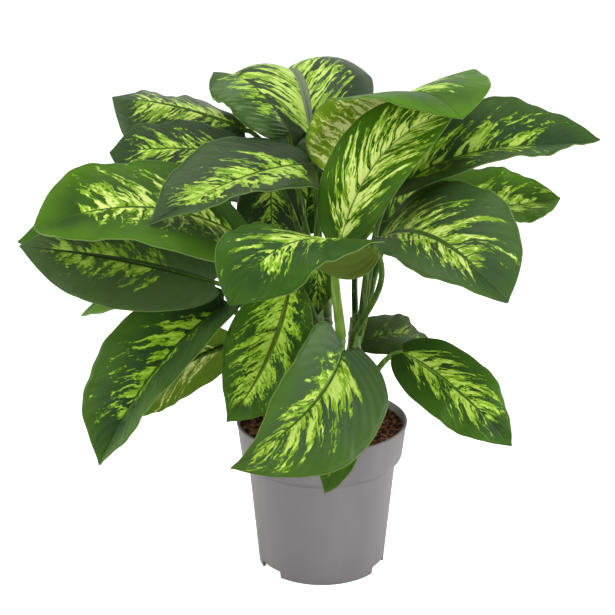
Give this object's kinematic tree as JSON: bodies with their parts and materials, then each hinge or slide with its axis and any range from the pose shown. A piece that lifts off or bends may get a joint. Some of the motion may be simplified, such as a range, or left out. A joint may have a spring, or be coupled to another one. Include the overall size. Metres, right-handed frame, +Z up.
{
  "type": "potted dieffenbachia",
  "caption": "Bushy dieffenbachia with broad, feathered green and cream leaves on short canes, in a plain round grey nursery pot.",
  "frame": {"origin": "on the ground, under the middle of the whole plant's bounding box; the pot's axis stands at x 16.6 mm, y -12.2 mm", "axes": "+Z up along the pot's axis; -Y towards the front, the side that the picture shows; +X to the right seen from the front, along the widest spread of the leaves"},
  "size_m": [0.6396, 0.496, 0.549],
  "materials": {
    "pot": "satin warm grey moulded polypropylene",
    "soil": "rough, fibrous reddish-brown potting mix",
    "cane": "satin green cane with pale leaf scars",
    "leaf": "satin dark green with feathered lime and cream flecks"
  },
  "bodies": {
    "root": {"pot": "pot", "soil": "soil", "cane_front": "cane", "cane_left": "cane", "cane_right": "cane", "cane_back": "cane", "cane_middle": "cane", "leaf_front": "leaf", "leaf_pot_edge": "leaf", "leaf_left_inner": "leaf", "leaf_center": "leaf", "leaf_upper_left": "leaf", "leaf_left_bright": "leaf", "leaf_left_dark": "leaf", "leaf_left_hidden": "leaf", "leaf_left_low": "leaf", "leaf_low_left": "leaf", "leaf_low_left_under": "leaf", "leaf_top_left": "leaf", "leaf_upper_left_dark": "leaf", "leaf_top": "leaf", "leaf_top_side": "leaf", "leaf_arching": "leaf", "leaf_right_upright": "leaf", "leaf_right_top": "leaf", "leaf_right_mid": "leaf", "leaf_right_big": "leaf", "leaf_right_low": "leaf", "leaf_right_small": "leaf", "leaf_hanging": "leaf", "leaf_inner": "leaf", "leaf_rear_top": "leaf", "leaf_rear_left": "leaf", "leaf_rear_right": "leaf", "leaf_rear_low": "leaf", "leaf_rear_mid": "leaf", "leaf_rear_low_left": "leaf"}
  },
  "joints": []
}
